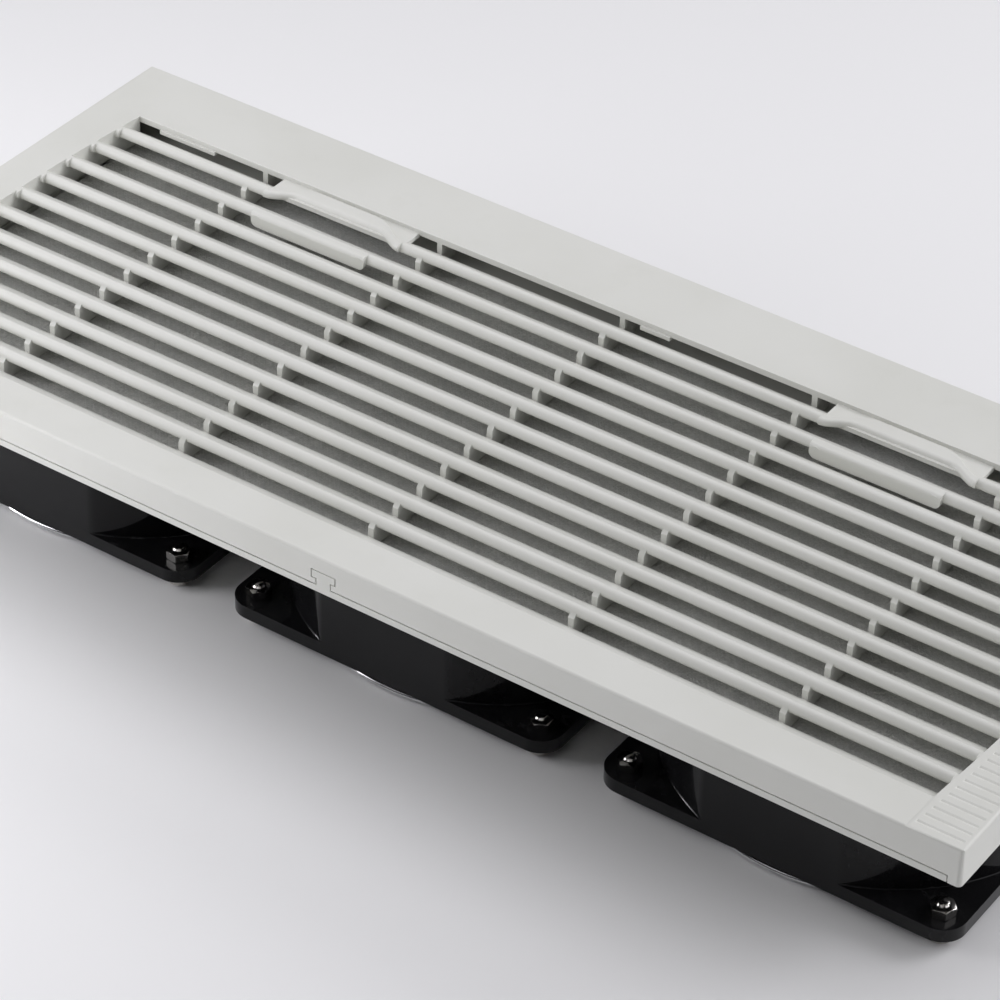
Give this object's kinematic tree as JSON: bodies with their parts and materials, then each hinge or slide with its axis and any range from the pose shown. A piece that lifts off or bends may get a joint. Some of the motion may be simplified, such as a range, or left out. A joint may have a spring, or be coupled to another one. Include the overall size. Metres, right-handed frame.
{
  "type": "cabinet filter fan",
  "caption": "Cabinet filter fan: a louvred grey cover hinged on a base frame over a fleece filter mat, with a row of square axial fans and wire finger guards behind the panel.",
  "frame": {"origin": "on the table below the middle of the cover, at the bottom of the guard screws' heads", "axes": "+X along the row of fans towards the grooved end, +Y towards the finger grips, +Z out of the louvres"},
  "size_m": [0.42, 0.183, 0.0698],
  "materials": {
    "cover_plastic": "satin moulded light grey",
    "frame_plastic": "satin moulded light grey",
    "filter_fleece": "loose fibre fleece",
    "foam_rubber": "closed-cell foam",
    "black_enamel": "gloss black enamel on a casting",
    "black_plastic": "black moulded",
    "rotor_steel": "turned",
    "ground_steel": "ground",
    "lamination_steel": "stacked sheet",
    "coil_copper": "enamelled wire",
    "bright_steel": "bright plated",
    "guard_chrome": "bright plated wire"
  },
  "bodies": {
    "base": {"base_frame": "frame_plastic", "filter_mat": "filter_fleece", "panel_gasket": "foam_rubber", "fan_screws": "bright_steel", "fan_nuts": "bright_steel", "guard_screws": "bright_steel", "guard_nuts": "bright_steel", "fan_1_housing": "black_enamel", "fan_1_bearings": "ground_steel", "fan_1_stator": "lamination_steel", "fan_1_winding": "coil_copper", "fan_1_terminals": "bright_steel", "fan_1_guard": "guard_chrome", "fan_2_housing": "black_enamel", "fan_2_bearings": "ground_steel", "fan_2_stator": "lamination_steel", "fan_2_winding": "coil_copper", "fan_2_terminals": "bright_steel", "fan_2_guard": "guard_chrome", "fan_3_housing": "black_enamel", "fan_3_bearings": "ground_steel", "fan_3_stator": "lamination_steel", "fan_3_winding": "coil_copper", "fan_3_terminals": "bright_steel", "fan_3_guard": "guard_chrome"},
    "cover": {"louvre_cover": "cover_plastic"},
    "fan_1_rotor": {"fan_1_impeller": "black_plastic", "fan_1_rotor_cup": "rotor_steel", "fan_1_shaft": "ground_steel"},
    "fan_2_rotor": {"fan_2_impeller": "black_plastic", "fan_2_rotor_cup": "rotor_steel", "fan_2_shaft": "ground_steel"},
    "fan_3_rotor": {"fan_3_impeller": "black_plastic", "fan_3_rotor_cup": "rotor_steel", "fan_3_shaft": "ground_steel"}
  },
  "joints": [
    {"name": "cover_hinge", "type": "hinge", "parent": "base", "child": "cover", "pos_m": [0, -0.0915, 0.0593], "axis": [1, 0, 0], "range_deg": [0, 85]},
    {"name": "fan_1_spin", "type": "hinge", "parent": "base", "child": "fan_1_rotor", "pos_m": [-0.136, -0.0025, 0.0232], "axis": [0, 0, 1], "continuous": true},
    {"name": "fan_2_spin", "type": "hinge", "parent": "base", "child": "fan_2_rotor", "pos_m": [0, -0.0025, 0.0232], "axis": [0, 0, 1], "continuous": true},
    {"name": "fan_3_spin", "type": "hinge", "parent": "base", "child": "fan_3_rotor", "pos_m": [0.136, -0.0025, 0.0232], "axis": [0, 0, 1], "continuous": true}
  ]
}
